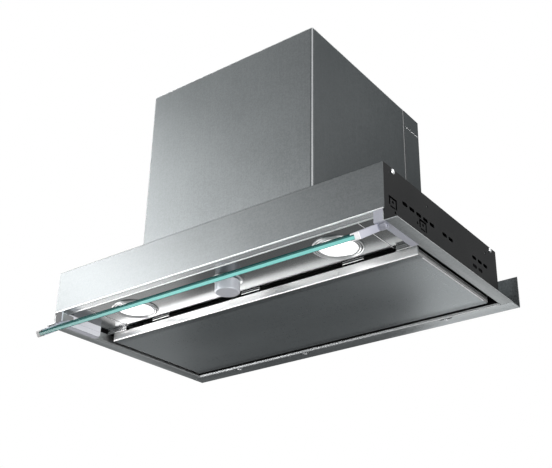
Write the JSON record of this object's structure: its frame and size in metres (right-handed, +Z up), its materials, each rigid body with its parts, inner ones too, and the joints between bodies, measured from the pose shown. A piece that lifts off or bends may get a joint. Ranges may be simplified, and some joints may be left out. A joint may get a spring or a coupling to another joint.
{
  "type": "range hood insert",
  "caption": "Built-in range hood insert: low steel body with side flanges, folding glass visor, lamp panel with knob, hinged suction panel and a tall motor box with a round duct collar.",
  "frame": {"origin": "middle of the cabinet opening, on the plane where the side flanges touch the underside of the cabinet", "axes": "+X along the width to the right as seen from the front, +Y to the rear wall, +Z up into the cabinet"},
  "size_m": [0.598, 0.3813, 0.4382],
  "materials": {
    "brushed_steel": "satin brushed",
    "dark_steel": "dark grey satin",
    "zinc_steel": "galvanised",
    "bright_metal": "bright zinc",
    "chrome": "polished",
    "lens": "frosted, lit",
    "dark_plastic": "moulded",
    "knob_satin": "satin",
    "visor_glass": "clear float glass",
    "lilac_plastic": "moulded, lilac grey",
    "white_plastic": "moulded",
    "filter_aluminium": "layered mesh",
    "motor_paint": "satin"
  },
  "bodies": {
    "hood": {"front_panel": "brushed_steel", "side_plate_left": "dark_steel", "side_plate_right": "dark_steel", "flange_left": "brushed_steel", "flange_right": "brushed_steel", "top_deck": "zinc_steel", "back_plate": "zinc_steel", "rear_strip_left": "brushed_steel", "rear_strip_right": "brushed_steel", "strip_tongue": "zinc_steel", "strip_screw_1": "bright_metal", "strip_screw_2": "bright_metal", "strip_screw_3": "bright_metal", "lamp_panel": "brushed_steel", "lamp_end_left": "brushed_steel", "lamp_end_right": "brushed_steel", "lamp_ring_left": "chrome", "lamp_ring_right": "chrome", "lamp_lens_left": "lens", "lamp_lens_right": "lens", "lamp_housing_left": "dark_plastic", "lamp_housing_right": "dark_plastic", "knob_ring": "chrome", "speed_switch": "dark_plastic", "control_box": "dark_plastic", "visor_bracket_left": "lilac_plastic", "visor_bracket_right": "lilac_plastic", "panel_hinge_left": "zinc_steel", "panel_hinge_right": "zinc_steel", "panel_catch_left": "dark_plastic", "panel_catch_right": "dark_plastic", "filter_seat": "zinc_steel", "filter_frame": "filter_aluminium", "filter_mesh": "filter_aluminium", "latch_keeper": "zinc_steel", "motor_box_front": "brushed_steel", "motor_box_rear": "brushed_steel", "motor_box_top": "zinc_steel", "outlet_collar": "dark_plastic", "damper_rod": "bright_metal", "fan_scroll": "dark_plastic", "motor": "motor_paint", "terminal_box": "dark_plastic", "side_screw_1": "bright_metal", "side_screw_2": "bright_metal", "side_screw_3": "bright_metal", "side_screw_4": "bright_metal"},
    "visor": {"visor_glass": "visor_glass", "visor_arm_left": "lilac_plastic", "visor_arm_right": "lilac_plastic", "visor_cap_left": "white_plastic", "visor_cap_right": "white_plastic"},
    "lower_panel": {"suction_panel": "brushed_steel"},
    "control_knob": {"knob": "knob_satin", "knob_shaft": "dark_plastic"},
    "latch": {"filter_latch": "dark_plastic"},
    "fan_wheel": {"impeller": "dark_plastic", "motor_shaft": "bright_metal"},
    "front_flap": {"damper_flap_front": "dark_plastic"},
    "rear_flap": {"damper_flap_rear": "dark_plastic"}
  },
  "joints": [
    {"name": "visor_fold", "type": "hinge", "parent": "hood", "child": "visor", "pos_m": [0, -0.147, -0.0033], "axis": [1, 0, 0], "range_deg": [0, 135]},
    {"name": "panel_open", "type": "hinge", "parent": "hood", "child": "lower_panel", "pos_m": [0, 0.141, 0.00605], "axis": [1, 0, 0], "range_deg": [0, 88]},
    {"name": "knob_turn", "type": "hinge", "parent": "hood", "child": "control_knob", "pos_m": [0, -0.101, 0.005], "axis": [0, 0, -1], "range_deg": [0, 270]},
    {"name": "latch_pull", "type": "slide", "parent": "hood", "child": "latch", "axis": [0, -1, 0], "range_m": [0, 0.005], "stiffness_N_per_m": 400, "springref_m": -0.004},
    {"name": "fan_spin", "type": "hinge", "parent": "hood", "child": "fan_wheel", "pos_m": [0, 0.0315, 0.20406], "axis": [1, 0, 0], "continuous": true},
    {"name": "front_flap_lift", "type": "hinge", "parent": "hood", "child": "front_flap", "pos_m": [0, 0.0315, 0.38], "axis": [-1, 0, 0], "range_deg": [0, 70]},
    {"name": "rear_flap_lift", "type": "hinge", "parent": "hood", "child": "rear_flap", "pos_m": [0, 0.0315, 0.38], "axis": [1, 0, 0], "range_deg": [0, 70]}
  ]
}
